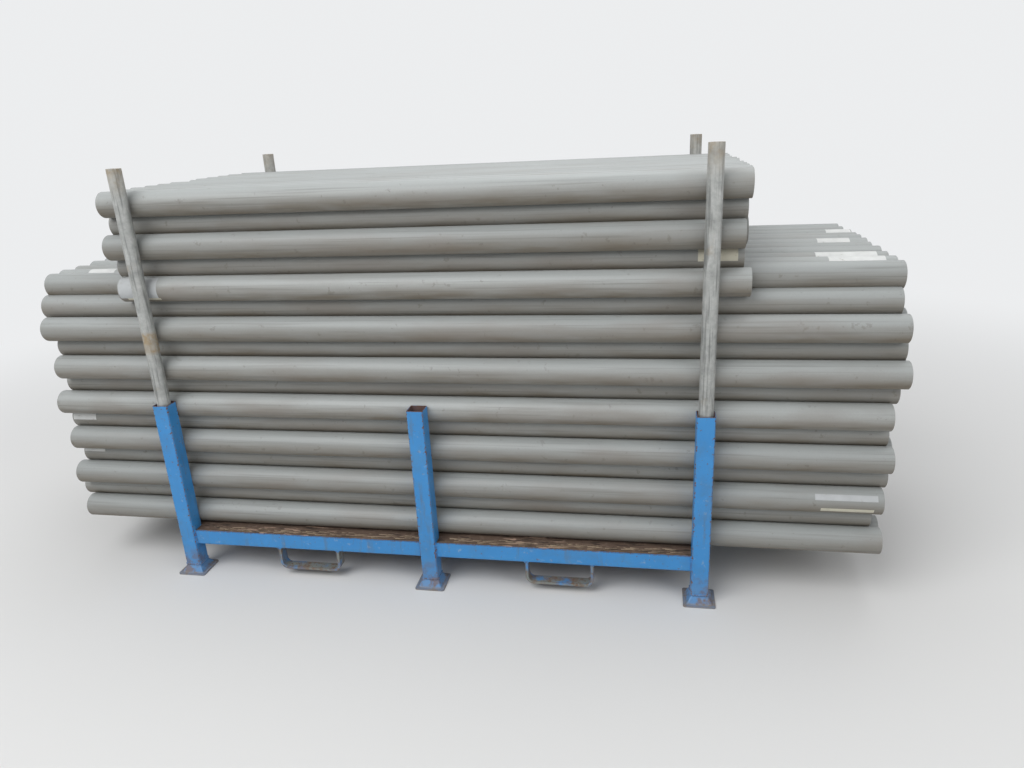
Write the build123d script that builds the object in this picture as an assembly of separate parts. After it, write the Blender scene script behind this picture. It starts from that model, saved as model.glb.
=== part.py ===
from build123d import *
import math
import os

# A loaded storage stillage: grey PVC drain pipes lying in a blue steel frame
# with galvanised corner posts. X runs along the pipes, Y from the front of the
# frame to its rear, Z up from the floor. Millimetres.

# Pipes
PIPE_OD = 90.0           # outer diameter
PIPE_WALL = 3.0
LONG_PIPE = 3000.0
SHORT_PIPE = 2170.0
BEVEL_LENGTH = 5.0       # bevelled spigot at both ends, along the pipe
BEVEL_DEPTH = 1.3        # and into the wall
PIPES_ACROSS = 10        # in every other layer, one fewer in the layers between
PIPE_PITCH = 102.0       # middle to middle across the bottom layer
LONG_LAYERS = 12         # full layers of long pipes from the bottom
SHORT_LAYERS = 4         # full layers of short pipes at the top
REST_GAP = 0.3           # left between things that lie on each other

# How far each layer lies off the middle along X, bottom layer first
LAYER_SLIP = (6, -23, -3, 13, 12, 0, -5, 17, 28, 21, 11, -7, -10, -64, -67, -60, -54)
# and how far the pipes of one layer lie off each other, from the front
PIPE_SLIP = (0, 9, -6, 14, -11, 4, -8, 11, -3, 7)
MIXED_SLIP = -44         # the one short pipe at the front of the mixed layer

# Frame
UPRIGHT_REACH = 970.0    # middle upright to end upright, along X
FRAME_SHIFT = -56.0      # the frame stands this far off the pipes' middle
SIDE_GAP = 2.0           # pipes to uprights, front and rear
SOCKET_SIZE = 60.0       # square tube
SOCKET_WALL = 4.0
SOCKET_CORNER = 6.0      # outside corner radius of the tube
SOCKET_TOP = 700.0
LIP_SIZE = 110.0         # flat rim of a stacking foot
LIP_THICK = 5.0
LIP_CORNER = 8.0
CUP_BASE = 90.0          # pyramid above the rim, outside
CUP_TOP = 30.0           # height at which the pyramid ends
CUP_WALL = 5.0
SEAT_THICK = 5.0         # plate that closes the cup and carries the upright

# Posts
POST_OD = 48.3
POST_WALL = 3.2
POST_LENGTH = 1500.0

# Rails, folded angles with the flat leg low and inside
RAIL_LEG = 60.0
RAIL_THICK = 5.0
RAIL_BEND = 3.0          # inside radius of the fold
RAIL_UNDERSIDE = 120.0   # height above the floor
RAIL_SETBACK = 11.0      # behind the outer faces of the uprights
MIDDLE_RAIL_WIDTH = 50.0
MIDDLE_RAIL_HEIGHT = 40.0
MIDDLE_RAIL_WALL = 4.0
MIDDLE_RAIL_CORNER = 6.0

# Fork loops, flat bar bent to a U
LOOP_REACH = 480.0       # from the middle of the frame, along X
LOOP_WIDTH = 245.0
LOOP_DROP = 90.0
LOOP_BAR = 40.0
LOOP_THICK = 10.0
LOOP_BEND = 20.0         # inside radius
LOOP_SETBACK = 5.0       # behind the rail's outer face

# Timber deck
PLANKS = 6
PLANK_GAP = 5.0
PLANK_CLEARANCE = 1.0    # to the steel round it
PLANK_ARRIS = 4.0        # worn long edges

# Worked out from the above
PIPE_R = PIPE_OD / 2
CONTACT = PIPE_OD + REST_GAP
RAIL_TOP = RAIL_UNDERSIDE + RAIL_LEG
DECK_SEAT = RAIL_UNDERSIDE + RAIL_THICK
FOOT_TOP = CUP_TOP + SEAT_THICK
SOCKET_BORE = SOCKET_SIZE - 2 * SOCKET_WALL
FIRST_ROW = (PIPES_ACROSS - 1) * PIPE_PITCH / 2
UPRIGHT_Y = FIRST_ROW + PIPE_R + SIDE_GAP + SOCKET_SIZE / 2
RAIL_FACE = UPRIGHT_Y + SOCKET_SIZE / 2 - RAIL_SETBACK
DECK_HALF = RAIL_FACE - RAIL_THICK - PLANK_CLEARANCE
POST_ROW = UPRIGHT_Y - POST_OD / 2 - SIDE_GAP - PIPE_R
LAYERS = LONG_LAYERS + 1 + SHORT_LAYERS
MIXED_LAYER = LONG_LAYERS


def resting_on(a, b):
    """Centre, as (y, z), of a pipe that lies in the valley between pipes a and b."""
    half = math.dist(a, b) / 2
    rise = math.sqrt(CONTACT**2 - half**2)
    along_y = (b[0] - a[0]) / (2 * half)
    along_z = (b[1] - a[1]) / (2 * half)
    return ((a[0] + b[0]) / 2 - rise * along_z, (a[1] + b[1]) / 2 + rise * along_y)


def leaning_out(pipe, side):
    """Centre of an end pipe that lies on the last pipe below and against the uprights."""
    low = pipe[1] + math.sqrt(CONTACT**2 - (FIRST_ROW - abs(pipe[0])) ** 2)
    row = FIRST_ROW if low < SOCKET_TOP else POST_ROW
    rise = math.sqrt(CONTACT**2 - (row - abs(pipe[0])) ** 2)
    return (side * row, pipe[1] + rise)


def pipe_layers():
    """Centres of all pipes, layer by layer from the bottom, each from front to rear."""
    floor_z = RAIL_TOP + REST_GAP + PIPE_R
    layer = [(i * PIPE_PITCH - FIRST_ROW, floor_z) for i in range(PIPES_ACROSS)]
    layers = [layer]
    while len(layers) < LAYERS:
        valleys = [resting_on(a, b) for a, b in zip(layer, layer[1:])]
        if len(valleys) < PIPES_ACROSS - 1:
            valleys = [leaning_out(layer[0], -1)] + valleys + [leaning_out(layer[-1], 1)]
        layer = valleys
        layers.append(layer)
    return layers


def pipe_plan():
    """For each layer a list of (length, x, y, z), x being the pipe's middle."""
    plan = []
    for number, centres in enumerate(pipe_layers()):
        row = []
        for i, (y, z) in enumerate(centres):
            short = number > MIXED_LAYER or (number == MIXED_LAYER and i == 0)
            slip = PIPE_SLIP[(i + 3 * number) % len(PIPE_SLIP)] if i else 0
            x = MIXED_SLIP if number == MIXED_LAYER and i == 0 else LAYER_SLIP[number] + slip
            row.append((SHORT_PIPE if short else LONG_PIPE, x, y, z))
        plan.append(row)
    ends = [x + side * length / 2 for row in plan for length, x, y, z in row for side in (-1, 1)]
    middle = (min(ends) + max(ends)) / 2
    return [[(length, x - middle, y, z) for length, x, y, z in row] for row in plan]


def pipe(length):
    """One pipe along X about the origin, bevelled outside at both ends."""
    half = length / 2
    bore = PIPE_R - PIPE_WALL
    section = Polyline(
        (-half, bore),
        (half, bore),
        (half, PIPE_R - BEVEL_DEPTH),
        (half - BEVEL_LENGTH, PIPE_R),
        (BEVEL_LENGTH - half, PIPE_R),
        (-half, PIPE_R - BEVEL_DEPTH),
        close=True,
    )
    return revolve(make_face(section), Axis.X)


def square_tube(size, wall, corner, length):
    """Square tube standing on the origin."""
    outside = RectangleRounded(size, size, corner)
    inside = RectangleRounded(size - 2 * wall, size - 2 * wall, corner - wall)
    return extrude(outside - inside, length)


def foot():
    """Stacking foot: flat rim, hollow pyramid that centres on a post, closed by a seat."""
    lip = extrude(RectangleRounded(LIP_SIZE, LIP_SIZE, LIP_CORNER), LIP_THICK)
    base = RectangleRounded(CUP_BASE, CUP_BASE, SOCKET_CORNER)
    top = RectangleRounded(SOCKET_SIZE, SOCKET_SIZE, SOCKET_CORNER)
    shell = loft([Pos(0, 0, LIP_THICK) * base, Pos(0, 0, CUP_TOP) * top])
    seat = Pos(0, 0, CUP_TOP) * extrude(top, SEAT_THICK)
    mouth = RectangleRounded(CUP_BASE - 2 * CUP_WALL, CUP_BASE - 2 * CUP_WALL, SOCKET_CORNER)
    throat = RectangleRounded(SOCKET_SIZE - 2 * CUP_WALL, SOCKET_SIZE - 2 * CUP_WALL, SOCKET_CORNER)
    cup = loft([mouth, Pos(0, 0, CUP_TOP) * throat])
    return lip + shell + seat - cup


def post():
    """Round tube that stands loose in its socket."""
    ring = Circle(POST_OD / 2) - Circle(POST_OD / 2 - POST_WALL)
    return Pos(0, 0, FOOT_TOP) * extrude(ring, POST_LENGTH)


def angle(flat_leg, length):
    """Folded angle along X from the origin: upright leg at Y 0, flat leg towards +Y."""
    fold = Polyline((0, RAIL_LEG), (0, 0), (flat_leg, 0), (flat_leg, RAIL_THICK),
                    (RAIL_THICK, RAIL_THICK), (RAIL_THICK, RAIL_LEG), close=True)
    section = make_face(fold)
    inner = section.vertices().sort_by_distance((RAIL_THICK, RAIL_THICK))[0]
    section = fillet(inner, RAIL_BEND)
    outer = section.vertices().sort_by_distance((0, 0))[0]
    section = fillet(outer, RAIL_BEND + RAIL_THICK)
    return extrude(Plane.YZ * section, length)


def fork_loop():
    """Flat bar bent to a U that hangs from Z 0, standing across the fork's way."""
    bar = Rectangle(LOOP_WIDTH, LOOP_DROP, align=(Align.CENTER, Align.MAX))
    bar = fillet(bar.vertices().group_by(Axis.Y)[0], LOOP_BEND + LOOP_THICK)
    hole = Rectangle(LOOP_WIDTH - 2 * LOOP_THICK, LOOP_DROP - LOOP_THICK,
                     align=(Align.CENTER, Align.MAX))
    hole = fillet(hole.vertices().group_by(Axis.Y)[0], LOOP_BEND)
    return extrude(Plane.XZ * (bar - hole), LOOP_BAR / 2, both=True)


def deck_plank(number, half_length):
    """Plank across the frame, the outermost ones notched round the uprights."""
    width = (2 * DECK_HALF - (PLANKS - 1) * PLANK_GAP) / PLANKS
    middle = (number - (PLANKS - 1) / 2) * (width + PLANK_GAP)
    board = Box(2 * half_length, width, RAIL_LEG - RAIL_THICK,
                align=(Align.CENTER, Align.CENTER, Align.MIN))
    board = chamfer(board.edges().filter_by(Axis.X), PLANK_ARRIS)
    board = Pos(0, middle, DECK_SEAT) * board
    notch_size = SOCKET_SIZE + 2 * PLANK_CLEARANCE
    for side in (-1, 1):
        for reach in (-UPRIGHT_REACH, 0, UPRIGHT_REACH):
            notch = Pos(reach, side * UPRIGHT_Y, DECK_SEAT) * Box(
                notch_size, notch_size, 2 * RAIL_LEG)
            if abs(side * UPRIGHT_Y - middle) < (notch_size + width) / 2:
                board = board - notch
    return board


parts = {}

for number, row in enumerate(pipe_plan(), start=1):
    lying = []
    for length, x, y, z in row:
        lying.append(Pos(x, y, z) * pipe(length))
    parts[f"pipes_layer_{number:02d}"] = Compound(lying)

columns = {"left": -UPRIGHT_REACH, "middle": 0.0, "right": UPRIGHT_REACH}
rows = {"front": -1, "rear": 1}
tube = square_tube(SOCKET_SIZE, SOCKET_WALL, SOCKET_CORNER, SOCKET_TOP - FOOT_TOP)

for row_name, side in rows.items():
    for column_name, reach in columns.items():
        place = Pos(FRAME_SHIFT + reach, side * UPRIGHT_Y, 0)
        parts[f"foot_{row_name}_{column_name}"] = place * foot()
        if column_name == "middle":
            parts[f"stub_{row_name}"] = place * Pos(0, 0, FOOT_TOP) * tube
        else:
            parts[f"socket_{row_name}_{column_name}"] = place * Pos(0, 0, FOOT_TOP) * tube
            parts[f"post_{row_name}_{column_name}"] = place * post()

# Long rails, one length each side of the middle upright
rail_length = UPRIGHT_REACH - SOCKET_SIZE
rail = Pos(-rail_length / 2, -RAIL_FACE, RAIL_UNDERSIDE) * angle(RAIL_LEG, rail_length)
for column_name, reach in (("left", -UPRIGHT_REACH / 2), ("right", UPRIGHT_REACH / 2)):
    parts[f"rail_front_{column_name}"] = Pos(FRAME_SHIFT + reach, 0, 0) * rail
    parts[f"rail_rear_{column_name}"] = Pos(FRAME_SHIFT + reach, 0, 0) * Rot(0, 0, 180) * rail

# End rails, whose flat leg ends level with the inner faces of the uprights
end_length = 2 * UPRIGHT_Y - SOCKET_SIZE
end_face = UPRIGHT_REACH + SOCKET_SIZE / 2 - RAIL_SETBACK
end_rail = Pos(-end_length / 2, -end_face, RAIL_UNDERSIDE) * angle(
    SOCKET_SIZE - RAIL_SETBACK, end_length)
parts["cross_rail_left"] = Pos(FRAME_SHIFT, 0, 0) * Rot(0, 0, -90) * end_rail
parts["cross_rail_right"] = Pos(FRAME_SHIFT, 0, 0) * Rot(0, 0, 90) * end_rail

# Middle rail, a tube under the deck from stub to stub
outside = RectangleRounded(MIDDLE_RAIL_WIDTH, MIDDLE_RAIL_HEIGHT, MIDDLE_RAIL_CORNER)
inside = RectangleRounded(MIDDLE_RAIL_WIDTH - 2 * MIDDLE_RAIL_WALL,
                          MIDDLE_RAIL_HEIGHT - 2 * MIDDLE_RAIL_WALL,
                          MIDDLE_RAIL_CORNER - MIDDLE_RAIL_WALL)
middle_rail = extrude(Plane.XZ * (outside - inside), end_length / 2, both=True)
parts["cross_rail_middle"] = Pos(
    FRAME_SHIFT, 0, DECK_SEAT - MIDDLE_RAIL_HEIGHT / 2) * middle_rail

# Fork loops under the long rails
loop_y = RAIL_FACE - LOOP_SETBACK - LOOP_BAR / 2
for row_name, side in rows.items():
    for column_name, reach in (("left", -LOOP_REACH), ("right", LOOP_REACH)):
        place = Pos(FRAME_SHIFT + reach, side * loop_y, RAIL_UNDERSIDE)
        parts[f"fork_loop_{row_name}_{column_name}"] = place * fork_loop()

# Planks lie in the angles and end where the end rails' folds begin
plank_half = end_face - RAIL_THICK - RAIL_BEND
for number in range(PLANKS):
    parts[f"deck_plank_{number + 1}"] = Pos(FRAME_SHIFT, 0, 0) * deck_plank(number, plank_half)

os.makedirs("parts", exist_ok=True)
for name, shape in parts.items():
    export_step(shape, f"parts/{name}.step")
print(len(parts), "nodes")
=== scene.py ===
# %% [markdown]
# A stillage full of drain pipes. The imported CAD model is the fixed frame: every
# pipe, tube and plank already has its true size and place there. This lesson
# dresses it: round pipes with a soft cut edge, painted light on their tops and
# rain dirt with painted shade on their undersides, chipped blue paint with drips
# and rusty feet, dull zinc with rust rings, torn timber, weld beads, and blank
# labels and tape.

# %% Load the frame
import math
import random

import bmesh
import bpy
from mathutils import Matrix, Vector


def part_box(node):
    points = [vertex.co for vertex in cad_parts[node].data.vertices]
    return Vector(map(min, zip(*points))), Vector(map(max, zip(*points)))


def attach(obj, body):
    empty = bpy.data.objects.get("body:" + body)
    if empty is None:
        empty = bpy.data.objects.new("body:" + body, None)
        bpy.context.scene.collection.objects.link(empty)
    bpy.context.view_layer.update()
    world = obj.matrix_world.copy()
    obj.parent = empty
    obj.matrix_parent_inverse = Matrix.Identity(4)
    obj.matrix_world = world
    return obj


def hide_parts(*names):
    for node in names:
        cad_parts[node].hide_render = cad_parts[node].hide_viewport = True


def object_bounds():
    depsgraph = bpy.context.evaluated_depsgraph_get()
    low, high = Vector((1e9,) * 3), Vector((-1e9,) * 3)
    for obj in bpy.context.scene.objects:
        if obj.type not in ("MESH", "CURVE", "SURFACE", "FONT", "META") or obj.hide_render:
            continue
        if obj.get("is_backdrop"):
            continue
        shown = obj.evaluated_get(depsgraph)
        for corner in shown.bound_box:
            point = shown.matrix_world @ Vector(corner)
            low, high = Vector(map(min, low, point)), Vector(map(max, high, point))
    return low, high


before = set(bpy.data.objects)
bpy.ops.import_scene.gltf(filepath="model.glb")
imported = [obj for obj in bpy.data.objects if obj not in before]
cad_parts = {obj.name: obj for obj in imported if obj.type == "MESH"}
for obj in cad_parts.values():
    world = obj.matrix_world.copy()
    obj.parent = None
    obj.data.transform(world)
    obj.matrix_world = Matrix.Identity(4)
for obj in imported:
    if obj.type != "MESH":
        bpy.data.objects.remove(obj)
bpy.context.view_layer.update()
scene = bpy.context.scene

# %% [markdown]
# The camera comes first. Its height, turn and lens were worked out from the
# pipe rows, the uprights and the feet, so the pipes and the frame fall where
# they do in the picture. It could be aimed at a target, but three angles also
# hold the slight roll of a hand-held camera. The axes of a camera are columns of
# its matrix: right, up, and back.

# %% Camera
IMAGE_WIDTH = 1024
FOCAL_PIXELS = 743.5
SENSOR_WIDTH = 36.0
CAMERA_PLACE = Vector((0.7305, -2.8312, 1.6079))
YAW, PITCH, ROLL = (math.radians(a) for a in (11.010, 19.178, 2.917))


def camera_matrix():
    """The camera's place and turn, from yaw to the left, pitch down and roll."""
    forward = Vector((-math.sin(YAW) * math.cos(PITCH), math.cos(YAW) * math.cos(PITCH),
                      -math.sin(PITCH)))
    level_right = Vector((math.cos(YAW), math.sin(YAW), 0))
    level_down = forward.cross(level_right)
    right = math.cos(ROLL) * level_right + math.sin(ROLL) * level_down
    down = math.cos(ROLL) * level_down - math.sin(ROLL) * level_right
    turn = Matrix((right, -down, -forward)).transposed().to_4x4()
    return Matrix.Translation(CAMERA_PLACE) @ turn


camera_data = bpy.data.cameras.new("camera")
camera_data.sensor_width = SENSOR_WIDTH
camera_data.lens = FOCAL_PIXELS / IMAGE_WIDTH * camera_data.sensor_width
camera = bpy.data.objects.new("camera", camera_data)
camera.matrix_world = camera_matrix()
scene.collection.objects.link(camera)
scene.camera = camera
print("lens", round(camera_data.lens, 2), "mm")

# %% [markdown]
# Materials are trees of nodes. They could be wired by hand in the editor, but a
# script that builds them gives the same result each time. One helper adds a node
# and another fills its inputs: a socket is linked, anything else is set as the
# input's own value.

# %% Node helpers
def fill(tree, node, inputs):
    """Links each input that is given a socket, and sets any other one."""
    for name, value in inputs.items():
        socket = node.inputs[name]
        if isinstance(value, bpy.types.NodeSocket):
            tree.links.new(value, socket)
        else:
            socket.default_value = value


def add(tree, kind, inputs=None, **settings):
    """Adds a node, sets its options, then fills its inputs."""
    made = tree.nodes.new(kind)
    for name, value in settings.items():
        setattr(made, name, value)
    fill(tree, made, inputs or {})
    return made


def maths(tree, operation, *values, clamp=False):
    """A Math node's result."""
    made = add(tree, "ShaderNodeMath", dict(enumerate(values)), operation=operation)
    made.use_clamp = clamp
    return made.outputs[0]


def ramp(tree, value, zero, full, top=1.0, **settings):
    """0 where the value is at zero, rising to the top where it is at full."""
    made = add(tree, "ShaderNodeMapRange", {
        "Value": value, "From Min": zero, "From Max": full, "To Max": top}, **settings)
    return made.outputs[0]


def noise_of(tree, place, scale, detail, roughness=0.5):
    """A Noise Texture's value, about 0.5 on the whole."""
    made = add(tree, "ShaderNodeTexNoise", {
        "Vector": place, "Scale": scale, "Detail": detail, "Roughness": roughness})
    return made.outputs["Fac"]


def parts_of(tree, vector):
    """A vector's X, Y and Z."""
    return add(tree, "ShaderNodeSeparateXYZ", {0: vector}).outputs


print("helpers for nodes and their numbers")

# %% [markdown]
# A real surface is one colour laid over another: paint, then dirt, then rust.
# Every material here is built in that order, so two helpers mix colours. The
# first blends by a mask as it is, the second by a share of it.

# %% Colour helpers
def blend(tree, factor, first, second):
    """First colour where the factor is 0, second where it is 1."""
    made = add(tree, "ShaderNodeMix", {0: factor, 6: first, 7: second}, data_type="RGBA")
    return made.outputs[2]


def cover(tree, base, colour, mask, share):
    """Lays a colour over the base where the mask is, as strong as the share."""
    return blend(tree, maths(tree, "MULTIPLY", mask, share), base, colour)


def object_place(tree):
    """The point's place in metres, the same in each piece as in the frame."""
    return add(tree, "ShaderNodeTexCoord").outputs["Object"]


def relief(tree, height, strength, depth):
    """A normal that makes the height look raised."""
    made = add(tree, "ShaderNodeBump", {
        "Height": height, "Strength": strength, "Distance": depth})
    return made.outputs[0]


def new_material(name):
    """A material with an empty Principled BSDF, and its tree."""
    material = bpy.data.materials.new(name)
    material.use_nodes = True
    return material, material.node_tree, material.node_tree.nodes["Principled BSDF"]


print("helpers for colours")

# %% [markdown]
# What several materials share, such as patches of wear, is a node group with
# named inputs. It could be copied into each material, but a group is built once
# and only its values differ.

# %% Group helpers
def new_group(name, inputs, outputs):
    """An empty shader group with named sockets: inputs as {name: default}."""
    group = bpy.data.node_groups.new(name, "ShaderNodeTree")
    for socket_name, default in inputs.items():
        kind = "NodeSocketVector" if default is None else "NodeSocketFloat"
        socket = group.interface.new_socket(socket_name, in_out="INPUT", socket_type=kind)
        if default is not None:
            socket.default_value = default
    for socket_name in outputs:
        group.interface.new_socket(socket_name, in_out="OUTPUT", socket_type="NodeSocketFloat")
    start = group.nodes.new("NodeGroupInput")
    end = group.nodes.new("NodeGroupOutput")
    return group, start.outputs, end.inputs


def use(tree, group, **inputs):
    """Places a group in a material, and returns its one result."""
    made = tree.nodes.new("ShaderNodeGroup")
    made.node_tree = group
    fill(tree, made, inputs)
    return made.outputs[0]


print("helpers for groups")

# %% [markdown]
# Rust, dirt and chips are all patches: noise that is cut at a threshold. They
# could be painted on an image, but noise in metres needs no image and fits every
# piece. Each material gives the group its own scale, reach and softness.

# %% Patches group
PATCH_ROUGHNESS = 0.62
patches, given, result = new_group(
    "patches", {"Vector": None, "Scale": 20.0, "Reach": 0.5, "Softness": 0.05, "Detail": 4.0},
    ["Mask"])
noise = noise_of(patches, given["Vector"], given["Scale"], given["Detail"], PATCH_ROUGHNESS)
patch_edge = maths(patches, "SUBTRACT", 1.0, given["Reach"])
patch_core = maths(patches, "ADD", patch_edge, given["Softness"])
patches.links.new(ramp(patches, noise, patch_edge, patch_core), result["Mask"])
print("group", patches.name)

# %% [markdown]
# Paint wears off at edges first. The Bevel node gives the normal that a rounded
# edge would have, so where it differs from the true normal there is an edge. No
# mesh has to be marked for it.

# %% Edge group
EDGE_SAMPLES = 6
edges, given, result = new_group("edges", {"Radius": 0.003, "Strength": 4.0}, ["Mask"])
rounded = add(edges, "ShaderNodeBevel", {"Radius": given["Radius"]}, samples=EDGE_SAMPLES)
true_normal = add(edges, "ShaderNodeNewGeometry")
agreement = add(edges, "ShaderNodeVectorMath",
                {0: rounded.outputs["Normal"], 1: true_normal.outputs["True Normal"]},
                operation="DOT_PRODUCT")
difference = maths(edges, "SUBTRACT", 1.0, agreement.outputs["Value"])
edges.links.new(maths(edges, "MULTIPLY", difference, given["Strength"], clamp=True),
                result["Mask"])
print("group", edges.name)

# %% [markdown]
# Streaks run along extruded pipe and sawn timber: noise read from coordinates
# that are squeezed across the grain. A Wave Texture would repeat itself over
# three metres of pipe, and noise doesn't.

# %% Streaks group
streaks, given, result = new_group(
    "streaks", {"Vector": None, "Along": 1.0, "Across": 60.0, "Offset": 0.0, "Detail": 3.0},
    ["Value"])
x, y, z = parts_of(streaks, given["Vector"])
squeezed = add(streaks, "ShaderNodeCombineXYZ", {
    0: maths(streaks, "ADD", maths(streaks, "MULTIPLY", x, given["Along"]), given["Offset"]),
    1: maths(streaks, "MULTIPLY", y, given["Across"]),
    2: maths(streaks, "MULTIPLY", z, given["Across"])})
grain = noise_of(streaks, squeezed.outputs[0], scale=1.0, detail=given["Detail"])
streaks.links.new(grain, result["Value"])
print("group", streaks.name)

# %% [markdown]
# Outdoor PVC fades to a chalky grey on top, and painted light makes the top paler
# still. Rain dirt and painted shade make the underside brown and dark. Handling
# adds spots, dark smears along the pipe, fine grit and broad water stains. Their
# colours are named first, in the order they are laid. The light is even, so each
# can be picked as it should look.

# %% Pipe colours
DARK_PVC = (0.325, 0.342, 0.338, 1)
PALE_PVC = (0.435, 0.455, 0.450, 1)
DRAWN_LINE = (0.235, 0.243, 0.235, 1)
# Partly rain dirt and partly painted shade: the brown laid on the pipes' undersides.
UNDERSIDE_DIRT_AND_SHADE = (0.180, 0.152, 0.115, 1)
PIPE_SPOT = (0.12, 0.10, 0.075, 1)
PIPE_SMEAR = (0.13, 0.125, 0.11, 1)
PIPE_GRIT = (0.17, 0.17, 0.155, 1)
WATER_STAIN = (0.215, 0.190, 0.165, 1)
# Partly chalk and dust and partly painted light: the paler, cooler grey laid on the pipes' tops.
CHALK_AND_TOP_LIGHT = (0.43, 0.46, 0.462, 1)
STREAK_SHIFT = 41.0
PVC_IOR = 1.5
print("pipe greys", DARK_PVC[:3], "to", PALE_PVC[:3])

# %% [markdown]
# One material for each pipe would give over a hundred. Instead one serves them all:
# a value stored on each pipe gives it its own tone, and shifts the streaks so
# that no two pipes are dirty in the same places. The surface normal's Z tells
# top from underside, for the painted light on top and the painted shade below.

# %% Pipe material
def pipe_material():
    """Weathered grey plastic."""
    material, tree, shader = new_material("weathered_grey_pvc")
    place = object_place(tree)
    tone = add(tree, "ShaderNodeAttribute", attribute_name="pipe_tone").outputs["Fac"]
    up = parts_of(tree, add(tree, "ShaderNodeNewGeometry").outputs["Normal"])[2]
    shift = maths(tree, "MULTIPLY", tone, STREAK_SHIFT)
    base = blend(tree, tone, DARK_PVC, PALE_PVC)
    drawn = use(tree, streaks, Vector=place, Along=0.8, Across=70.0, Offset=shift)
    base = cover(tree, base, DRAWN_LINE, drawn, share=0.55)
    # Painted shade: where the normal faces down, the pipe is darkened brown. This is partly rain
    # dirt and partly the shade under each pipe.
    under = ramp(tree, up, zero=0.55, full=-0.55)
    grime = use(tree, streaks, Vector=place, Along=5.0, Across=26.0, Offset=shift, Detail=6.0)
    uneven = maths(tree, "MULTIPLY_ADD", grime, 1.3, 0.15)
    darkening_mask = maths(tree, "MULTIPLY", under, uneven, clamp=True)
    base = blend(tree, darkening_mask, base, UNDERSIDE_DIRT_AND_SHADE)
    spots = use(tree, patches, Vector=place, Scale=34.0, Reach=0.36, Softness=0.05)
    base = cover(tree, base, PIPE_SPOT, spots, share=0.35)
    smears = use(tree, streaks, Vector=place, Along=2.2, Across=130.0, Offset=shift, Detail=8.0)
    base = blend(tree, ramp(tree, smears, zero=0.54, full=0.70, top=0.42), base, PIPE_SMEAR)
    grit = noise_of(tree, place, scale=210.0, detail=3.0)
    base = cover(tree, base, PIPE_GRIT, grit, share=0.22)
    stain = use(tree, streaks, Vector=place, Along=2.6, Across=9.0, Offset=shift, Detail=7.0)
    base = blend(tree, ramp(tree, stain, zero=0.50, full=0.68, top=0.40), base, WATER_STAIN)
    # Painted light: where the normal faces up, the pipe is lightened towards a pale cool grey.
    # This is partly chalk and dust and partly the light from the sky.
    dust_and_top_light = ramp(tree, up, zero=0.35, full=1.0, top=0.35)
    fine = use(tree, streaks, Vector=place, Along=3.0, Across=240.0, Offset=shift)
    fill(tree, shader, {
        "Base Color": blend(tree, dust_and_top_light, base, CHALK_AND_TOP_LIGHT),
        "Roughness": maths(tree, "MULTIPLY_ADD", darkening_mask, 0.25, 0.46),
        "Normal": relief(tree, fine, strength=0.10, depth=0.001),
        "IOR": PVC_IOR})
    return material


grey_pvc = pipe_material()
print("material", grey_pvc.name)

# %% [markdown]
# The frame's blue paint is a slightly uneven coat: scuffed pale on the flats,
# greyed in broad patches, and streaked by drips that ran down from the pipes.
# Under it is brown steel. The coat's colour comes first, and the chips are a
# mask of their own, since rust, roughness and relief all follow it.

# %% Blue paint colours
DEEP_BLUE = (0.030, 0.215, 0.53, 1)
BRIGHT_BLUE = (0.052, 0.285, 0.63, 1)
PALE_SCUFF = (0.36, 0.43, 0.50, 1)
GREYED_BLUE = (0.085, 0.17, 0.27, 1)
RUBBED_STEEL = (0.19, 0.215, 0.205, 1)
DRIP_BROWN = (0.135, 0.125, 0.085, 1)
DARK_RUST = (0.105, 0.048, 0.022, 1)
WARM_RUST = (0.19, 0.085, 0.035, 1)
RIM_GREY = (0.30, 0.29, 0.27, 1)
GROUND_DUST = (0.27, 0.25, 0.22, 1)
DRIP_STRETCH = (34.0, 34.0, 5.0)


def coat_colour(tree, place, cloud, scuffs, rubbed):
    """The paint's own colour with scuffs, grey dirt, worn places and drips."""
    base = blend(tree, cloud, DEEP_BLUE, BRIGHT_BLUE)
    base = cover(tree, base, PALE_SCUFF, scuffs, share=0.40)
    grey = use(tree, patches, Vector=place, Scale=15.0, Reach=0.50, Softness=0.22, Detail=9.0)
    base = cover(tree, base, GREYED_BLUE, grey, share=0.34)
    if rubbed:
        base = blend(tree, rubbed, base, RUBBED_STEEL)
    stretched = add(tree, "ShaderNodeMapping", {"Vector": place, "Scale": DRIP_STRETCH})
    drips = use(tree, patches, Vector=stretched.outputs[0], Scale=1.0, Reach=0.44,
                Softness=0.16, Detail=6.0)
    return cover(tree, base, DRIP_BROWN, drips, share=0.50)


print("coat from", DEEP_BLUE[:3], "to", BRIGHT_BLUE[:3])

# %% [markdown]
# Chips sit where knocks come: at edges, and along an upright's four corners. The
# inside of an upright was never painted properly, so it rusts all over. Corners
# and inside need to know where the tube stands, so the mask takes the upright's
# middle. A fork loop is rubbed bare in patches, with rust specks in them.

# %% Chip mask
TUBE_INSIDE = 0.0285
CORNER_STARTS, CORNER_FULL = 0.0225, 0.0275
BARE_SPECKLE = 0.56


def stronger(tree, mask, other, share):
    """The mask, or a share of the other one where that is stronger."""
    return maths(tree, "MAXIMUM", mask, maths(tree, "MULTIPLY", other, share))


def distance_from(tree, value, middle):
    """How far a value is from the middle, either way."""
    return maths(tree, "ABSOLUTE", maths(tree, "SUBTRACT", value, middle))


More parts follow.
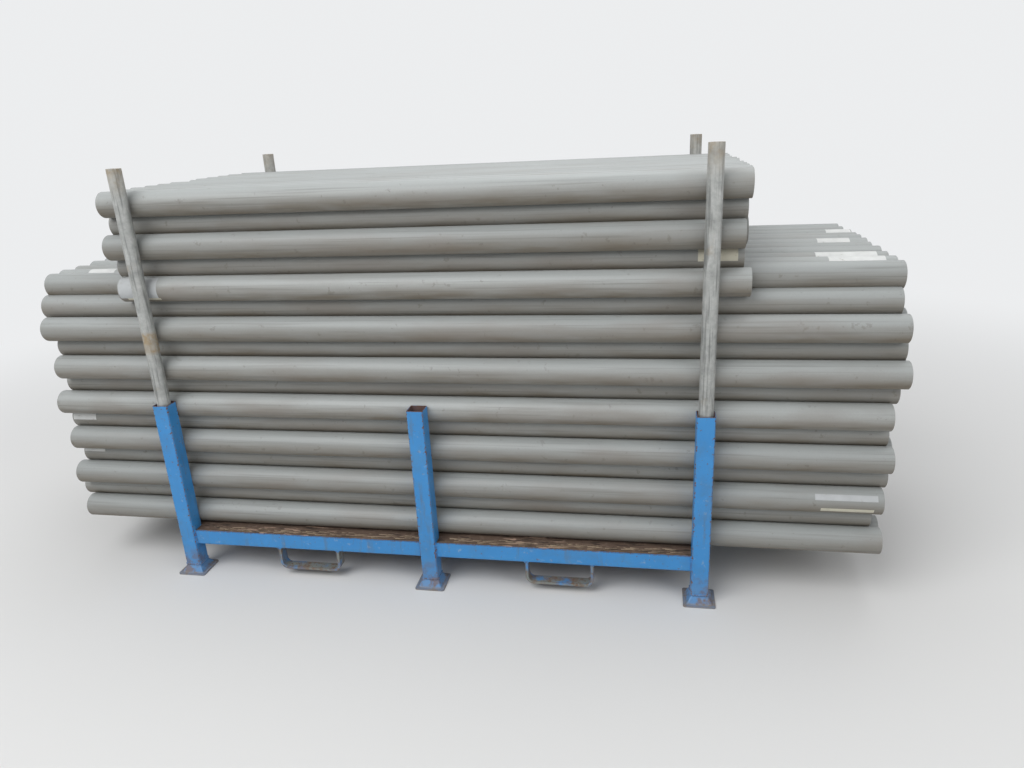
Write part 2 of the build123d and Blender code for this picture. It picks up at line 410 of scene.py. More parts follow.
def chip_mask(tree, place, speckle, centre, rubbed):
    """1 where the paint is gone. Centre is an upright's (x, y), or None."""
    x, y, _ = parts_of(tree, place)
    edge = use(tree, edges, Radius=0.004, Strength=7.0)
    worn = maths(tree, "MULTIPLY_ADD", edge, 0.20, speckle)
    if centre:
        from_x, from_y = (distance_from(tree, v, c) for v, c in zip((x, y), centre))
        corner = ramp(tree, maths(tree, "MINIMUM", from_x, from_y),
                      zero=CORNER_STARTS, full=CORNER_FULL, top=0.10)
        worn = maths(tree, "ADD", worn, corner)
    chip = ramp(tree, worn, zero=0.635, full=0.665)
    if centre:
        inside = maths(tree, "LESS_THAN", maths(tree, "MAXIMUM", from_x, from_y), TUBE_INSIDE)
        chip = stronger(tree, chip, inside, share=0.9)
    if rubbed:
        specks = maths(tree, "GREATER_THAN", speckle, BARE_SPECKLE)
        chip = stronger(tree, chip, specks, share=rubbed)
    return chip


print("inside of an upright starts", TUBE_INSIDE, "m from its middle")

# %% [markdown]
# Coat and chips come together in one material, with what the ground does on top:
# patches of rust and dust low down, and a scraped grey rim round each foot. It is
# made once for the rails, once more worn for the fork loops, and once for each
# upright, because each stands somewhere else.

# %% Blue paint
DUST_HEIGHT = 0.13
RIM_STARTS, RIM_FULL = 0.012, 0.004


def blue_paint(name, centre=None, bare=0.0):
    """Chipped blue paint. Centre is an upright's (x, y); bare is the share worn through."""
    material, tree, shader = new_material(name)
    place = object_place(tree)
    z = parts_of(tree, place)[2]
    low_down = ramp(tree, z, zero=DUST_HEIGHT, full=0.0)
    rim = ramp(tree, z, zero=RIM_STARTS, full=RIM_FULL)
    cloud = noise_of(tree, place, scale=7.0, detail=5.0)
    speckle = noise_of(tree, place, scale=85.0, detail=6.0, roughness=0.7)
    scuffs = use(tree, patches, Vector=place, Scale=46.0, Reach=0.39, Softness=0.06, Detail=8.0)
    rubbed = None
    if bare:
        rubbed = use(tree, patches, Vector=place, Scale=19.0, Reach=bare, Softness=0.16,
                     Detail=6.0)
    chip = chip_mask(tree, place, speckle, centre, rubbed)
    rusty = use(tree, patches, Vector=place, Scale=24.0, Reach=0.52, Softness=0.10)
    chip = stronger(tree, chip, maths(tree, "MULTIPLY", low_down, rusty), share=0.85)
    chip = stronger(tree, chip, rim, share=0.35)
    base = coat_colour(tree, place, cloud, scuffs, rubbed)
    base = blend(tree, chip, base, blend(tree, speckle, DARK_RUST, WARM_RUST))
    base = cover(tree, base, RIM_GREY, rim, share=0.5)
    dust = maths(tree, "MULTIPLY", low_down, cloud)
    rough = maths(tree, "MULTIPLY_ADD", maths(tree, "MAXIMUM", chip, scuffs), 0.4, 0.40)
    height = maths(tree, "MULTIPLY_ADD", chip, -1.0, maths(tree, "MULTIPLY", speckle, 0.15))
    fill(tree, shader, {
        "Base Color": cover(tree, base, GROUND_DUST, dust, share=0.6),
        "Roughness": rough,
        "Normal": relief(tree, height, strength=0.5, depth=0.0006)})
    return material


plain_blue = blue_paint("blue_paint_rails")
rubbed_blue = blue_paint("blue_paint_loops", bare=0.66)
print("materials", plain_blue.name, rubbed_blue.name)

# %% [markdown]
# The rails, loops, feet and uprights keep their CAD meshes, which already have
# the right folds and bends, so they only need paint. Swapping the material in
# each slot leaves the mesh and its slots as they came.

# %% Paint the frame
def paint(node_name, material):
    """Gives a CAD node one material."""
    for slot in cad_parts[node_name].material_slots:
        slot.material = material


def tube_name(row, column):
    """The upright's CAD node: a stub in the middle, a socket at the corners."""
    return f"stub_{row}" if column == "middle" else f"socket_{row}_{column}"


for node_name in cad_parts:
    if node_name.startswith(("rail_", "cross_rail_")):
        paint(node_name, plain_blue)
    if node_name.startswith("fork_loop_"):
        paint(node_name, rubbed_blue)
for row in ("front", "rear"):
    for column in ("left", "middle", "right"):
        low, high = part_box(f"foot_{row}_{column}")
        centre = ((low[0] + high[0]) / 2, (low[1] + high[1]) / 2)
        paint(tube_name(row, column), blue_paint(f"blue_paint_{row}_{column}", centre))
        paint(f"foot_{row}_{column}", plain_blue)
        print("painted", tube_name(row, column), "about", [round(v, 3) for v in centre])

# %% [markdown]
# Old hot-dip zinc is mottled grey with a faint crystal pattern, and water has run
# down it in dark lines. It rusts where it was rubbed: at the cut top end, and in
# a ring round the left posts. Both heights are read off the frame's boxes, so the
# rust moves along if the posts get longer.

# %% Zinc colours
DARK_ZINC = (0.10, 0.11, 0.105, 1)
PALE_ZINC = (0.66, 0.67, 0.65, 1)
CRYSTAL = (0.60, 0.60, 0.58, 1)
RUN_GREY = (0.13, 0.135, 0.13, 1)
ZINC_RUST = (0.33, 0.235, 0.12, 1)
RUN_STRETCH = (120.0, 120.0, 7.0)
POST_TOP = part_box("post_front_left")[1][2]
RUSTY_END = 0.10
RING_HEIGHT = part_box("socket_front_left")[1][2] + 0.235
RING_EDGE, RING_CORE = 0.045, 0.03
print("post top", round(POST_TOP, 3), "rust ring at", round(RING_HEIGHT, 3))

# %% [markdown]
# Voronoi cells stand for the crystals, as each cell has one flat value. The rest
# is noise again, stretched down the post for the runs. Rust isn't a metal's
# surface, so it lowers Metallic and raises Roughness as well as changing colour.

# %% Zinc material
def zinc_material():
    """Old hot-dip zinc with patches of rust."""
    material, tree, shader = new_material("dull_zinc")
    place = object_place(tree)
    x, _, z = parts_of(tree, place)
    mottle = noise_of(tree, place, scale=26.0, detail=8.0, roughness=0.7)
    base = blend(tree, mottle, DARK_ZINC, PALE_ZINC)
    crystals = add(tree, "ShaderNodeTexVoronoi", {"Vector": place, "Scale": 65.0})
    facets = add(tree, "ShaderNodeSeparateColor", {0: crystals.outputs["Color"]}).outputs[0]
    base = cover(tree, base, CRYSTAL, facets, share=0.22)
    stretched = add(tree, "ShaderNodeMapping", {"Vector": place, "Scale": RUN_STRETCH})
    runs = noise_of(tree, stretched.outputs[0], scale=1.0, detail=5.0)
    base = blend(tree, ramp(tree, runs, zero=0.52, full=0.66, top=0.6), base, RUN_GREY)
    patch = use(tree, patches, Vector=place, Scale=11.0, Reach=0.40, Softness=0.12, Detail=7.0)
    fine = use(tree, patches, Vector=place, Scale=45.0, Reach=0.55, Softness=0.20, Detail=6.0)
    top_end = ramp(tree, z, zero=POST_TOP - RUSTY_END, full=POST_TOP, top=0.5)
    ring = ramp(tree, distance_from(tree, z, RING_HEIGHT), zero=RING_EDGE, full=RING_CORE,
                top=0.8)
    on_left = maths(tree, "LESS_THAN", x, 0.0)
    spread = maths(tree, "MAXIMUM", top_end, maths(tree, "MULTIPLY", ring, on_left))
    rubbed = maths(tree, "MULTIPLY", spread, maths(tree, "MULTIPLY_ADD", fine, 0.7, 0.5))
    rust = maths(tree, "MAXIMUM", maths(tree, "MULTIPLY", patch, 0.35), rubbed, clamp=True)
    fill(tree, shader, {
        "Base Color": blend(tree, rust, base, ZINC_RUST),
        "Metallic": maths(tree, "MULTIPLY_ADD", rust, -0.35, 0.35),
        "Roughness": maths(tree, "MULTIPLY_ADD", rust, 0.3, 0.52),
        "Normal": relief(tree, mottle, strength=0.15, depth=0.001)})
    return material


dull_zinc = zinc_material()
print("material", dull_zinc.name)

# %% [markdown]
# Deck timber is rough sawn, grey-brown and dirty, with darker growth lines along
# the plank, small dark pits, and paler wood where a worn edge has split. The
# front plank is torn in two places, and fresh wood shows there. Each torn place
# is a middle on X and a reach, both in metres.

# %% Timber colours
DARK_TIMBER = (0.080, 0.052, 0.038, 1)
LIGHT_TIMBER = (0.185, 0.122, 0.088, 1)
SPLIT_DARK = (0.30, 0.22, 0.15, 1)
SPLIT_LIGHT = (0.48, 0.38, 0.26, 1)
BROAD_BAND = (0.075, 0.050, 0.036, 1)
ROUGH_SAWN = (0.25, 0.175, 0.130, 1)
PIT_BLACK = (0.035, 0.024, 0.018, 1)
EDGE_SPLIT = (0.40, 0.31, 0.21, 1)
TORN_WOOD = (0.42, 0.29, 0.215, 1)
TORN_PLACES = ((0.34, 0.16), (-0.62, 0.24))
print("torn at", [x for x, reach in TORN_PLACES])

# %% [markdown]
# Wood grain could come from a Wave Texture, but sawn and trodden planks no longer
# show tidy rings. All of it runs with the grain, though, so nearly all of it
# comes from the streaks group. The pits also sink the surface a little.

# %% Timber material
def timber_material(name, dark, light, torn_at=()):
    """Weathered sawn wood with its grain along X, torn pale round some places on X."""
    material, tree, shader = new_material(name)
    place = object_place(tree)
    along = parts_of(tree, place)[0]
    lines = use(tree, streaks, Vector=place, Along=1.6, Across=110.0, Detail=6.0)
    broad = use(tree, streaks, Vector=place, Along=0.9, Across=22.0, Offset=5.0)
    base = cover(tree, blend(tree, lines, dark, light), BROAD_BAND, broad, share=0.6)
    sawn = use(tree, patches, Vector=place, Scale=48.0, Reach=0.47, Softness=0.12, Detail=8.0)
    base = cover(tree, base, ROUGH_SAWN, sawn, share=0.38)
    pits = use(tree, streaks, Vector=place, Along=14.0, Across=90.0, Offset=9.0, Detail=5.0)
    pits = ramp(tree, pits, zero=0.56, full=0.62, top=0.8)
    base = blend(tree, pits, base, PIT_BLACK)
    edge = use(tree, edges, Radius=0.006, Strength=3.0)
    fibres = use(tree, streaks, Vector=place, Along=9.0, Across=160.0)
    base = blend(tree, maths(tree, "MULTIPLY", edge, fibres), base, EDGE_SPLIT)
    for x, reach in torn_at:
        near = ramp(tree, distance_from(tree, along, x), zero=reach, full=reach * 0.5)
        broken = use(tree, streaks, Vector=place, Along=16.0, Across=75.0, Offset=x, Detail=6.0)
        broken = ramp(tree, broken, zero=0.56, full=0.60)
        base = blend(tree, maths(tree, "MULTIPLY", near, broken), base, TORN_WOOD)
    height = maths(tree, "MULTIPLY_ADD", pits, -1.0, lines)
    fill(tree, shader, {
        "Base Color": base, "Roughness": 0.85,
        "Normal": relief(tree, height, strength=0.8, depth=0.003)})
    return material


deck_timber = timber_material("deck_timber", DARK_TIMBER, LIGHT_TIMBER)
split_wood = timber_material("split_wood", SPLIT_DARK, SPLIT_LIGHT)
torn_timber = timber_material("torn_timber", DARK_TIMBER, LIGHT_TIMBER, TORN_PLACES)
for node_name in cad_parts:
    if node_name.startswith("deck_plank_"):
        paint(node_name, torn_timber if node_name == "deck_plank_1" else deck_timber)
print("materials", deck_timber.name, split_wood.name, torn_timber.name)

# %% [markdown]
# Geometry Nodes make whatever repeats. A small helper opens a tree with named
# inputs, and another runs it on an object and keeps the result as a plain mesh,
# because instances and live modifiers don't travel with the model. Copies made
# in Python would do too, but a tree has its sizes in one place.

# %% Geometry Nodes helpers
def new_tree(name, sizes):
    """A geometry tree with a Geometry input and output, sizes and a Material."""
    tree = bpy.data.node_groups.new(name, "GeometryNodeTree")
    face = tree.interface
    face.new_socket("Geometry", in_out="INPUT", socket_type="NodeSocketGeometry")
    for size_name, default in sizes.items():
        kind = "NodeSocketInt" if isinstance(default, int) else "NodeSocketFloat"
        face.new_socket(size_name, in_out="INPUT", socket_type=kind).default_value = default
    face.new_socket("Material", in_out="INPUT", socket_type="NodeSocketMaterial")
    face.new_socket("Geometry", in_out="OUTPUT", socket_type="NodeSocketGeometry")
    return tree, tree.nodes.new("NodeGroupInput").outputs, tree.nodes.new("NodeGroupOutput")


def strew(tree, points, shape, turn, size, given, end):
    """Ends a tree: a shape on every point, made real and given the material."""
    placed = add(tree, "GeometryNodeInstanceOnPoints", {
        "Points": points, "Instance": shape, "Rotation": turn, "Scale": size})
    real = add(tree, "GeometryNodeRealizeInstances", {0: placed.outputs[0]})
    dressed = add(tree, "GeometryNodeSetMaterial", {
        "Geometry": real.outputs[0], "Material": given["Material"]})
    tree.links.new(dressed.outputs[0], end.inputs[0])


def grow(name, mesh, tree, **values):
    """Runs a tree on a mesh and returns the outcome as a plain object."""
    source = bpy.data.objects.new(name + "_source", mesh)
    scene.collection.objects.link(source)
    modifier = source.modifiers.new("grow", "NODES")
    modifier.node_group = tree
    sockets = {s.name: s.identifier for s in tree.interface.items_tree if s.in_out == "INPUT"}
    for key, value in values.items():
        modifier[sockets[key]] = value
    seen = source.evaluated_get(bpy.context.evaluated_depsgraph_get())
    grown = bpy.data.meshes.new_from_object(seen)
    source.modifiers.clear()
    bpy.data.objects.remove(source)
    piece = bpy.data.objects.new(name, grown)
    scene.collection.objects.link(piece)
    print(name, len(grown.polygons), "faces")
    return piece


print("helpers for trees")

# %% [markdown]
# A tube is a wall section carried round a circle: Curve to Mesh sweeps the small
# section along the ring, so outside, bore and both cut ends come as one closed
# skin. Fillet Curve cuts the section's corners, as the bevel on a pipe's spigot.
# A solidified cylinder has no such bevel. Each point of the source becomes one
# tube, as long as its stretch says.

# %% Tube tree
PIPE_DIAMETER = 0.090
PIPE_WALL = 0.003
LONG_PIPE = 3.0
tube_tree, given, end = new_tree("tubes", {
    "Diameter": PIPE_DIAMETER, "Wall": PIPE_WALL, "Length": LONG_PIPE, "Bevel": 0.0012,
    "Segments": 64, "Turn": math.pi / 2})
middle_radius = maths(tube_tree, "MULTIPLY", maths(
    tube_tree, "SUBTRACT", given["Diameter"], given["Wall"]), 0.5)
ring = add(tube_tree, "GeometryNodeCurvePrimitiveCircle", {
    "Resolution": given["Segments"], "Radius": middle_radius})
section = add(tube_tree, "GeometryNodeCurvePrimitiveQuadrilateral", {
    "Width": given["Wall"], "Height": given["Length"]})
bevelled = add(tube_tree, "GeometryNodeFilletCurve", {
    "Curve": section.outputs[0], "Radius": given["Bevel"], "Limit Radius": True}, mode="POLY")
tube = add(tube_tree, "GeometryNodeCurveToMesh", {
    "Curve": ring.outputs[0], "Profile Curve": bevelled.outputs[0]})
stretch = add(tube_tree, "GeometryNodeInputNamedAttribute", {"Name": "stretch"},
              data_type="FLOAT")
long_way = add(tube_tree, "ShaderNodeCombineXYZ", {0: 1.0, 1: 1.0, 2: stretch.outputs[0]})
turn = add(tube_tree, "ShaderNodeCombineXYZ", {1: given["Turn"]})
strew(tube_tree, given["Geometry"], tube.outputs[0], turn.outputs[0], long_way.outputs[0],
      given, end)
print("tree", tube_tree.name)

# %% [markdown]
# Where every pipe lies is read off the frame itself, from the gaps between a
# layer's points across the stack. A list of places would have to be kept in step
# with the CAD model by hand.
#
# This cell has a known fault: it finds 196 pipes where the frame has 162. Points
# of one pipe lie up to 6.3 mm apart, which is more than the least gap, so a new
# group starts as soon as 81 mm are passed, before the 90 mm pipe ends. Behind the
# front row the pipes come out too close together and cut into each other.
# Neighbours in the frame are 12 mm or more apart, so parting the points at gaps
# over 10 mm, and at nothing else, gives the right 162.

# %% Measure the pipes
LEAST_GAP = PIPE_WALL / 2
LEAST_ACROSS = PIPE_DIAMETER * 0.9


def pipes_of(node_name):
    """A layer's groups of points from front to rear, as (x0, x1, y, z)."""
    points = sorted((v.co.y, v.co.x, v.co.z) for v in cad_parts[node_name].data.vertices)
    groups = [[points[0]]]
    for last, point in zip(points, points[1:]):
        if point[0] - last[0] > LEAST_GAP and point[0] - groups[-1][0][0] > LEAST_ACROSS:
            groups.append([])
        groups[-1].append(point)
    found = []
    for group in groups:
        ys, xs, zs = zip(*group)
        found.append((min(xs), max(xs), (min(ys) + max(ys)) / 2, (min(zs) + max(zs)) / 2))
    return found


layer_names = sorted(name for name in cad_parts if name.startswith("pipes_layer_"))
pipes = {int(name[-2:]): pipes_of(name) for name in layer_names}
print("pipes", sum(len(row) for row in pipes.values()))

# %% [markdown]
# Each layer becomes one mesh of round tubes that takes the place of the coarser
# CAD layer, one tube for each group that was found. A tone between 0 and 1 is
# drawn for each pipe and stored on its points, low ones more often, since most
# pipes in the stack are the darker grey. Only the cut edges stay sharp, so the
# round sides shade smoothly.

# %% Build the pipes
TONE_SEED = 90
TONE_POWER = 1.5
SHARP_FROM = math.radians(40)


def point_mesh(name, points, stretches):
    """Loose points, each with the stretch of its tube."""
    mesh = bpy.data.meshes.new(name)
    mesh.from_pydata([tuple(p) for p in points], [], [])
    mesh.attributes.new("stretch", "FLOAT", "POINT").data.foreach_set("value", stretches)
    return mesh


def finish_tubes(piece):
    """Turns faces outwards and keeps only the cut edges sharp."""
    work = bmesh.new()
    work.from_mesh(piece.data)
    bmesh.ops.recalc_face_normals(work, faces=work.faces)
    work.to_mesh(piece.data)
    work.free()
    piece.data.shade_smooth()
    piece.data.set_sharp_from_angle(angle=SHARP_FROM)


random.seed(TONE_SEED)
for number, row in pipes.items():
    points = [((x0 + x1) / 2, y, z) for x0, x1, y, z in row]
    source = point_mesh("pipe_points", points, [(x1 - x0) / LONG_PIPE for x0, x1, y, z in row])
    layer = grow(f"pipes_{number:02d}", source, tube_tree, Diameter=PIPE_DIAMETER,
                 Wall=PIPE_WALL, Length=LONG_PIPE, Material=grey_pvc)
    finish_tubes(layer)
    per_pipe = len(layer.data.vertices) // len(row)
    tones = []
    for _ in row:
        tones += [random.random() ** TONE_POWER] * per_pipe
    layer.data.attributes.new("pipe_tone", "FLOAT", "POINT").data.foreach_set("value", tones)
    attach(layer, "root")
    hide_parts(f"pipes_layer_{number:02d}")

# %% [markdown]
# The corner posts are plain round tube, cut square at the top. They are the same
# tree with other sizes, stood on end, so their open tops show a true wall.

# %% Build the posts
POST_WALL = 0.0032
POST_BEVEL = 0.0006
for row in ("front", "rear"):
    for column in ("left", "right"):
        low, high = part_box(f"post_{row}_{column}")
        centre = [(a + b) / 2 for a, b in zip(low, high)]
        post = grow(f"post_{row}_{column}_round", point_mesh("post_points", [centre], [1.0]),
                    tube_tree, Diameter=high[0] - low[0], Wall=POST_WALL,
                    Length=high[2] - low[2], Bevel=POST_BEVEL, Turn=0.0, Material=dull_zinc)
        finish_tubes(post)
        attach(post, "root")
        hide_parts(f"post_{row}_{column}")

# %% [markdown]
# A hand weld is a row of overlapping drops. The tree walks along a seam and puts
# a round drop every few millimetres, each turned and sized a little apart. A
# swept bead would be too even for a weld made by hand.

# %% Weld tree
DROP_SMALLEST, DROP_LARGEST = 0.8, 1.15


def steps_along(tree, lines, step):
    """Points along loose edges, one every step."""
    curve = add(tree, "GeometryNodeMeshToCurve", {"Mesh": lines})
    steps = add(tree, "GeometryNodeResampleCurve", {
        "Curve": curve.outputs[0], "Length": step}, mode="LENGTH")
    return steps.outputs[0]


def random_number(tree, least, most, seed):
    """A random number for each point."""
    made = add(tree, "FunctionNodeRandomValue", {2: least, 3: most, "Seed": seed},
               data_type="FLOAT")
    return made.outputs[1]


def random_vector(tree, least, most, seed):
    """A random vector for each point, its parts drawn apart."""
    made = add(tree, "FunctionNodeRandomValue", {0: least, 1: most, "Seed": seed},
               data_type="FLOAT_VECTOR")
    return made.outputs[0]


weld_tree, given, end = new_tree("weld_beads", {"Step": 0.0045, "Radius": 0.0038, "Seed": 4})
drop = add(weld_tree, "GeometryNodeMeshIcoSphere", {"Radius": given["Radius"], "Subdivisions": 2})
strew(weld_tree, steps_along(weld_tree, given["Geometry"], given["Step"]), drop.outputs[0],
      random_vector(weld_tree, (0, 0, 0), (math.tau, math.tau, math.tau), given["Seed"]),
      random_number(weld_tree, DROP_SMALLEST, DROP_LARGEST, given["Seed"]), given, end)
print("tree", weld_tree.name)

# %% [markdown]
# Welds run round the bottom of each upright where it meets its foot, up the ends
# of the rails, and under the ends of the fork loops. The seams are read off the
# boxes of the CAD nodes and kept as loose edges, which the tree can walk.

# %% Weld the frame
SEAM_INSET = 0.09
RAIL_FOLD = 0.008
LOOP_TAB = 0.005


def seam_mesh(name, lines):
    """Straight seams as loose edges."""
    mesh = bpy.data.meshes.new(name)
    points = [tuple(p) for line in lines for p in line]
    mesh.from_pydata(points, [(i, i + 1) for i in range(0, len(points), 2)], [])
    return mesh


def seams_round(low, high):
    """Four seams round the bottom of an upright, clear of its rounded corners."""
    x0, y0, x1, y1 = low[0], low[1], high[0], high[1]
    corners = [(x0, y0), (x1, y0), (x1, y1), (x0, y1)]
    found = []
    for a, b in zip(corners, corners[1:] + corners[:1]):
        start, stop = Vector((*a, low[2])), Vector((*b, low[2]))
        inset = (stop - start) * SEAM_INSET
        found.append((start + inset, stop - inset))
    return found


def outer_face(low, high, row):
    """A node's Y on the outside of its row."""
    return low[1] if row == "front" else high[1]


seams = []
for row in ("front", "rear"):
    for column in ("left", "middle", "right"):
        seams += seams_round(*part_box(tube_name(row, column)))
    for half in ("left", "right"):
        low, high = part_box(f"rail_{row}_{half}")
        face = outer_face(low, high, row)
        for x in (low[0], high[0]):
            seams.append(((x, face, low[2] + RAIL_FOLD), (x, face, high[2])))
        loop_low, loop_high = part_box(f"fork_loop_{row}_{half}")
        face = outer_face(loop_low, loop_high, row)
        for x in (loop_low[0] + LOOP_TAB, loop_high[0] - LOOP_TAB):
            seams.append(((x - LOOP_TAB, face, low[2]), (x + LOOP_TAB, face, low[2])))
welds = grow("weld_beads", seam_mesh("weld_seams", seams), weld_tree, Material=plain_blue)
welds.data.shade_smooth()
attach(welds, "root")

# %% [markdown]
# Pipes dragged over the deck have torn its front edge, and pale fibres stand
# along it. Each is a thin four-sided cone laid along the grain, a little off
# straight. Cut shapes would need a finer plank, and slivers need only points.

# %% Splinter tree
SCATTER_LEAST, SCATTER_MOST = (-0.012, 0.0, -0.0016), (0.012, 0.030, 0.0014)
LEAN_LEAST, LEAN_MOST = (-0.10, 1.50, -0.16), (0.10, 1.62, 0.16)
SLIVER_LEAST, SLIVER_MOST = (0.6, 0.7, 0.15), (1.9, 2.3, 1.2)
SLIVER_TIP, SLIVER_ROOT = 0.0002, 0.0011
splinter_tree, given, end = new_tree("splinters", {"Step": 0.007, "Length": 0.045, "Seed": 11})
moved = add(splinter_tree, "GeometryNodeSetPosition", {
    "Geometry": steps_along(splinter_tree, given["Geometry"], given["Step"]),
    "Offset": random_vector(splinter_tree, SCATTER_LEAST, SCATTER_MOST, given["Seed"])})
sliver = add(splinter_tree, "GeometryNodeMeshCone", {
    "Vertices": 4, "Radius Top": SLIVER_TIP, "Radius Bottom": SLIVER_ROOT,
    "Depth": given["Length"]})
strew(splinter_tree, moved.outputs[0], sliver.outputs[0],
      random_vector(splinter_tree, LEAN_LEAST, LEAN_MOST, given["Seed"]),
      random_vector(splinter_tree, SLIVER_LEAST, SLIVER_MOST, given["Seed"]), given, end)
print("tree", splinter_tree.name)

# %% [markdown]
# The slivers stand along the front plank's upper edge, on both sides of the
# middle stub. They stay clear of the stub and of the plank's ends, where the
# uprights kept the pipes off the wood.

# %% Splinter the front plank
END_CLEAR, STUB_CLEAR, EDGE_INSET = 0.10, 0.02, 0.006
low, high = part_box("deck_plank_1")
stub_low, stub_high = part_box("stub_front")
edge_y = low[1] + EDGE_INSET
edge_lines = [((x0, edge_y, high[2]), (x1, edge_y, high[2])) for x0, x1 in (
    (low[0] + END_CLEAR, stub_low[0] - STUB_CLEAR),
    (stub_high[0] + STUB_CLEAR, high[0] - END_CLEAR))]
splinters = grow("plank_splinters", seam_mesh("splinter_edge", edge_lines), splinter_tree,
                 Material=split_wood)
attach(splinters, "root")

# %% [markdown]
# Some pipes carry a paper label or a turn of tape near an end. Paper left outside
# is no longer even: it is stained in clouds and speckled with dirt. Only the
# colour differs between label and tape, so one function makes all of them.

# %% Paper material
PAPER_DIRT = (0.30, 0.26, 0.20, 1)
STAINED_SHARE = 0.72


def paper_material(name, colour):
    """Weathered paper or tape."""
    material, tree, shader = new_material(name)
    place = object_place(tree)
    stained = tuple(c * STAINED_SHARE for c in colour[:3]) + (1,)
    base = blend(tree, noise_of(tree, place, scale=30.0, detail=6.0), colour, stained)
    darkening_mask = use(tree, patches, Vector=place, Scale=60.0, Reach=0.36, Softness=0.08)
    fill(tree, shader, {
        "Base Color": cover(tree, base, PAPER_DIRT, darkening_mask, share=0.5), "Roughness": 0.6})
    return material


white_paper = paper_material("white_paper", (0.76, 0.77, 0.76, 1))
cream_tape = paper_material("cream_tape", (0.66, 0.63, 0.51, 1))
grey_tape = paper_material("grey_tape", (0.53, 0.55, 0.56, 1))
print("materials", white_paper.name, cream_tape.name, grey_tape.name)

# %% [markdown]
# A label is a thin sheet bent round the pipe. It could be shrinkwrapped, but its
# shape is plain arithmetic: rows of points on a circle a hair larger than the
# pipe, once for the inner skin and once for the outer, and a strip of faces that
# closes the rim between them.

# %% Label helpers
LABEL_ROWS, LABEL_COLUMNS = 10, 4
LABEL_INNER, LABEL_OUTER = 0.00006, 0.00040
LABEL_SHARP_FROM = math.radians(50)


def label_skin(work, left, width, middle, lift, centre_angle, spread):
    """A label's rows of points, lifted off the pipe whose middle is (y, z)."""
    radius = PIPE_DIAMETER / 2 + lift
    skin = []
    for i in range(LABEL_ROWS + 1):
        angle = math.radians(centre_angle + spread * (i / LABEL_ROWS - 0.5))
        y = middle[0] - radius * math.cos(angle)
        z = middle[1] + radius * math.sin(angle)
        skin.append([work.verts.new((left + width * j / LABEL_COLUMNS, y, z))
                     for j in range(LABEL_COLUMNS + 1)])
    return skin


def rim_of(skin):
    """A skin's outer points, once round."""
    right = [row[-1] for row in skin[1:-1]]
    left = [row[0] for row in skin[-2:0:-1]]
    return skin[0] + right + skin[-1][::-1] + left


def bent_label(work, pipe, start, width, centre_angle, spread):
    """Adds a label to a mesh. Angles are in degrees up from the front."""
    x0, x1, y, z = pipe
    left = x0 + start if start >= 0 else x1 + start - width
    skins = [label_skin(work, left, width, (y, z), lift, centre_angle, spread)
             for lift in (LABEL_INNER, LABEL_OUTER)]
    for skin in skins:
        for lower, upper in zip(skin, skin[1:]):
            for j in range(LABEL_COLUMNS):
                work.faces.new((lower[j], lower[j + 1], upper[j + 1], upper[j]))
    inner, outer = (rim_of(skin) for skin in skins)
    for i in range(len(inner)):
        k = (i + 1) % len(inner)
        work.faces.new((inner[i], inner[k], outer[k], outer[i]))


def label_piece(name, material, labels):
    """One mesh of labels, each (layer, pipe, start, width, angle, spread)."""
    work = bmesh.new()
    for layer, index, *shape in labels:
        bent_label(work, pipes[layer][index], *shape)
    bmesh.ops.recalc_face_normals(work, faces=work.faces)
    mesh = bpy.data.meshes.new(name)
    work.to_mesh(mesh)
    work.free()
    mesh.materials.append(material)
    mesh.shade_smooth()
    mesh.set_sharp_from_angle(angle=LABEL_SHARP_FROM)
    piece = bpy.data.objects.new(name, mesh)
    scene.collection.objects.link(piece)
    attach(piece, "root")
    print(name, len(labels), "labels")


print("label", round((LABEL_OUTER - LABEL_INNER) * 1000, 2), "mm thick")

# %% [markdown]
# The labels sit where the picture shows them, all blank. Each line gives a layer
# and a pipe, the start from the left end (or from the right end if below zero),
# the width, the angle of the middle, and the spread round the pipe. They are
# measured from each pipe's own end, so they follow it when the stack changes.

# %% Stick the labels
label_piece("white_labels", white_paper, [
    (6, 0, 0.006, 0.100, 28, 62),
    (4, 0, 0.006, 0.090, 30, 34),
    (13, 2, 0.130, 0.110, 60, 90),
    (13, 2, -0.035, 0.170, 66, 50),
    (13, 3, -0.035, 0.190, 68, 50),
    (13, 6, -0.060, 0.110, 72, 44),
    (13, 9, -0.004, 0.090, 72, 44),
])
label_piece("clear_tapes", grey_tape, [
    (13, 0, 0.004, 0.150, 18, 104),
    (3, 0, -0.020, 0.195, 34, 26),
])
label_piece("cream_labels", cream_tape, [
    (13, 0, 0.030, 0.130, -40, 12),
    (14, 0, -0.020, 0.120, 14, 52),
    (3, 0, -0.030, 0.165, -25, 18),
])

# %% [markdown]
# A plain pale floor takes the shadow, and far from the stack it fades into the
# backdrop. A curved studio backdrop would do the same, but would stand in the
# way of a view from behind. The Light Path node shows the fade to the camera, to
# gloss and through glass, and adds no light to the object.

# %% Floor
BACKDROP = (0.84, 0.85, 0.86, 1)
FLOOR_COLOUR = (0.74, 0.74, 0.735, 1)
FLOOR_LEVEL = -0.0005
FLOOR_REACH = 30.0
FADE_STARTS, FADE_ENDS = 1.6, 5.5


def seen_directly(tree):
    """1 for what the camera sees, also in gloss and through glass."""
    light_path = add(tree, "ShaderNodeLightPath")
    return maths(tree, "MAXIMUM", light_path.outputs["Is Camera Ray"],
                 maths(tree, "MAXIMUM", light_path.outputs["Is Glossy Ray"],
                       light_path.outputs["Is Transmission Ray"]))


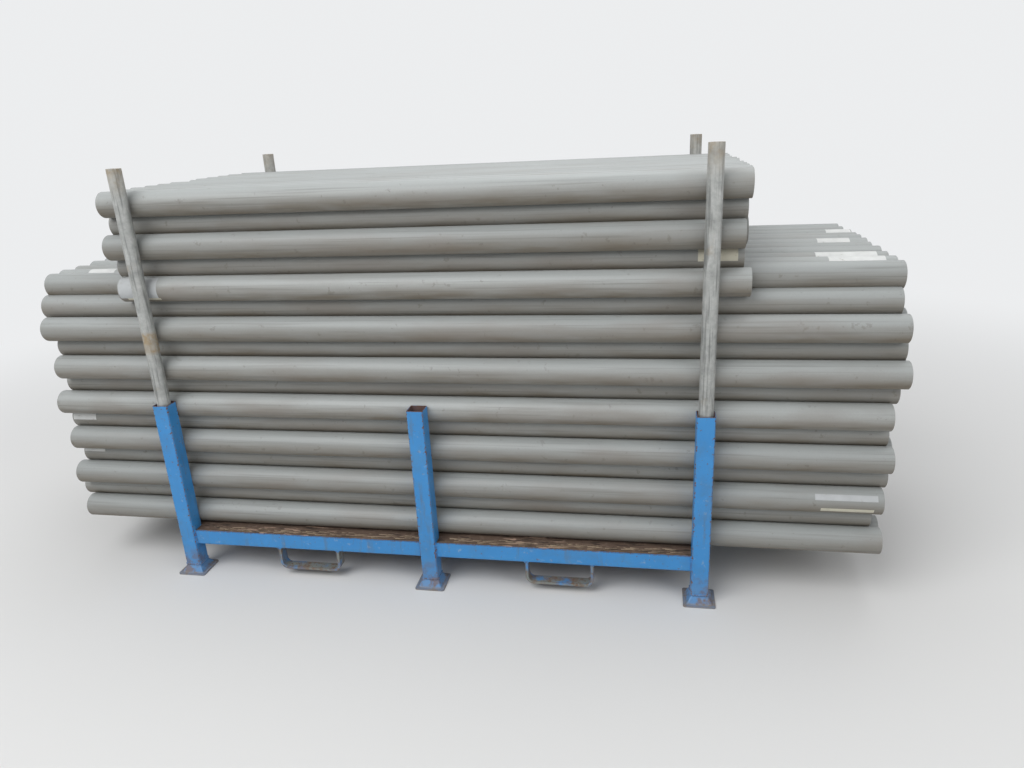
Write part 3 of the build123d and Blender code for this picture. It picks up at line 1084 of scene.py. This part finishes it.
def floor_material():
    """Pale and matt, mixed with the backdrop's own colour further out."""
    material, tree, shader = new_material("pale_floor")
    fill(tree, shader, {"Base Color": FLOOR_COLOUR, "Roughness": 0.9})
    distance = add(tree, "ShaderNodeVectorMath", {0: object_place(tree)}, operation="LENGTH")
    far = ramp(tree, distance.outputs["Value"], zero=FADE_STARTS, full=FADE_ENDS,
               interpolation_type="SMOOTHSTEP")
    haze = add(tree, "ShaderNodeEmission", {"Color": BACKDROP, "Strength": 1.0})
    mixed = add(tree, "ShaderNodeMixShader", {
        0: maths(tree, "MULTIPLY", far, seen_directly(tree)), 1: shader.outputs[0],
        2: haze.outputs[0]})
    fill(tree, tree.nodes["Material Output"], {"Surface": mixed.outputs[0]})
    return material


floor_mesh = bpy.data.meshes.new("floor")
floor_mesh.from_pydata([(x * FLOOR_REACH, y * FLOOR_REACH, FLOOR_LEVEL) for x, y in (
    (-1, -1), (1, -1), (1, 1), (-1, 1))], [], [(0, 1, 2, 3)])
floor_mesh.materials.append(floor_material())
floor = bpy.data.objects.new("floor", floor_mesh)
scene.collection.objects.link(floor)
floor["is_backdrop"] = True
print("floor", 2 * FLOOR_REACH, "m across")

# %% [markdown]
# The world is a pale sky all round, as on an overcast day. The object gets less
# than half of it, so its pale greys don't clip, while the camera sees the plain
# backdrop at full strength, again by Light Path.

# %% World
WORLD_STRENGTH = 0.45
world = bpy.data.worlds.new("studio")
scene.world = world
world.use_nodes = True
background = world.node_tree.nodes["Background"]
fill(world.node_tree, background, {
    "Color": BACKDROP,
    "Strength": maths(world.node_tree, "MULTIPLY_ADD", seen_directly(world.node_tree),
                      1.0 - WORLD_STRENGTH, WORLD_STRENGTH)})
print("world strength on the object", WORLD_STRENGTH)

# %% [markdown]
# Daylight from above the camera's left models the round pipes, so one wide lamp
# hangs there. A weaker one from the right keeps the far ends from going black,
# and one above the rear lights the tops. Wide lamps give soft shadows, as clouds
# do, where a sun lamp would draw hard ones.

# %% Lamps
def lamp(name, place, target, size, power):
    """A square area lamp that looks at the target."""
    data = bpy.data.lights.new(name, "AREA")
    data.size = size
    data.energy = power
    made = bpy.data.objects.new(name, data)
    made.location = place
    made.rotation_euler = (Vector(target) - Vector(place)).to_track_quat("-Z", "Y").to_euler()
    scene.collection.objects.link(made)
    print("lamp", name, power, "W")


lamp("key", place=(-2.5, -4.5, 6.0), target=(0, 0, 0.8), size=5.0, power=330)
lamp("fill", place=(4.5, -3.5, 3.5), target=(0, 0, 0.7), size=3.0, power=60)
lamp("top", place=(0.5, 1.5, 6.0), target=(0, 0, 1.0), size=5.0, power=120)
scene.view_settings.view_transform = "Standard"

# %% Finish
low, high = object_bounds()
print("visual box", [round(v, 3) for v in high - low])
